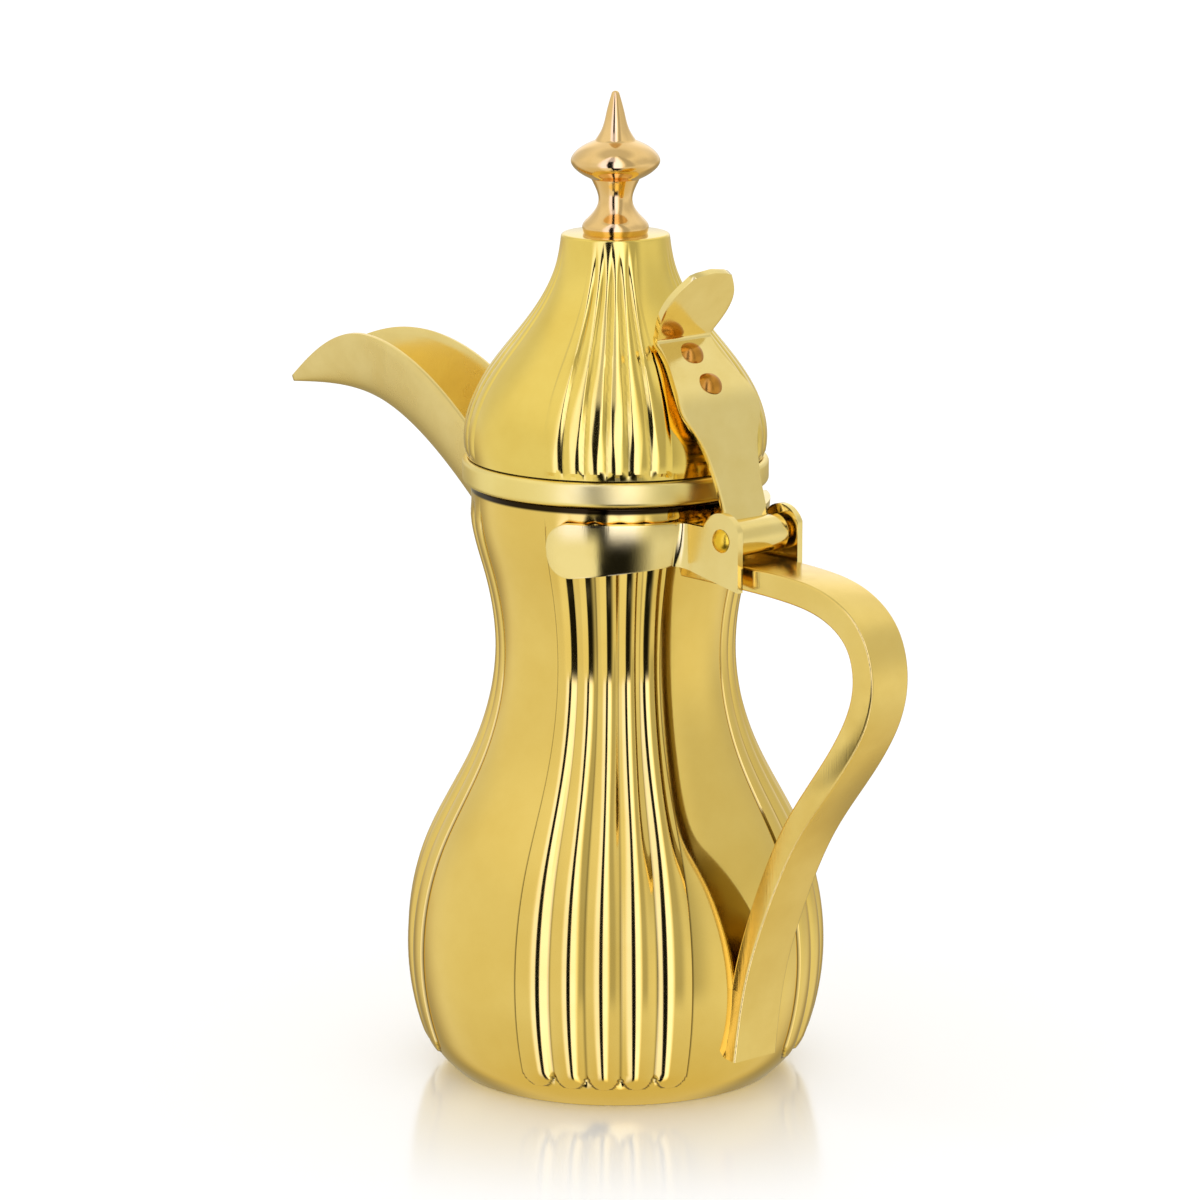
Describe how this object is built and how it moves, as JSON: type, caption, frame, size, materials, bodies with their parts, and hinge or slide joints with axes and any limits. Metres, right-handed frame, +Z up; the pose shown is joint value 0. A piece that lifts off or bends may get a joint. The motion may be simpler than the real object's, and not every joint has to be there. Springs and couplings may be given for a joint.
{
  "type": "dallah coffee pot",
  "caption": "Gold-finished dallah coffee pot with a reeded waisted body, beak spout, bar handle and a hinged reeded dome lid with a turned finial.",
  "frame": {"origin": "middle of the flat base on the table", "axes": "+Z up along the pot, +X from the pot towards the handle, the spout points to -X"},
  "size_m": [0.2764, 0.1256, 0.3],
  "materials": {
    "polished_gold": "mirror polished",
    "lid_gold": "mirror polished",
    "satin_gold": "satin brushed",
    "strap_gold": "polished",
    "pin_brass": "polished",
    "rivet_copper": "polished",
    "finial_brass": "polished, turned",
    "plain_steel": "satin"
  },
  "bodies": {
    "pot": {"body_shell": "polished_gold", "base_plate": "polished_gold", "spout": "satin_gold", "handle": "satin_gold", "hinge_bracket_near": "polished_gold", "hinge_bracket_far": "polished_gold", "hinge_pin": "pin_brass"},
    "lid": {"hinge_strap": "strap_gold", "strap_rivets": "rivet_copper", "lid_dome": "lid_gold", "lid_rim_band": "lid_gold", "finial": "finial_brass", "finial_stud": "plain_steel", "finial_washer": "plain_steel", "finial_nut": "plain_steel"}
  },
  "joints": [
    {"name": "lid_hinge", "type": "hinge", "parent": "pot", "child": "lid", "pos_m": [0.0613, 0, 0.174], "axis": [0, 1, 0], "range_deg": [0, 110]}
  ]
}
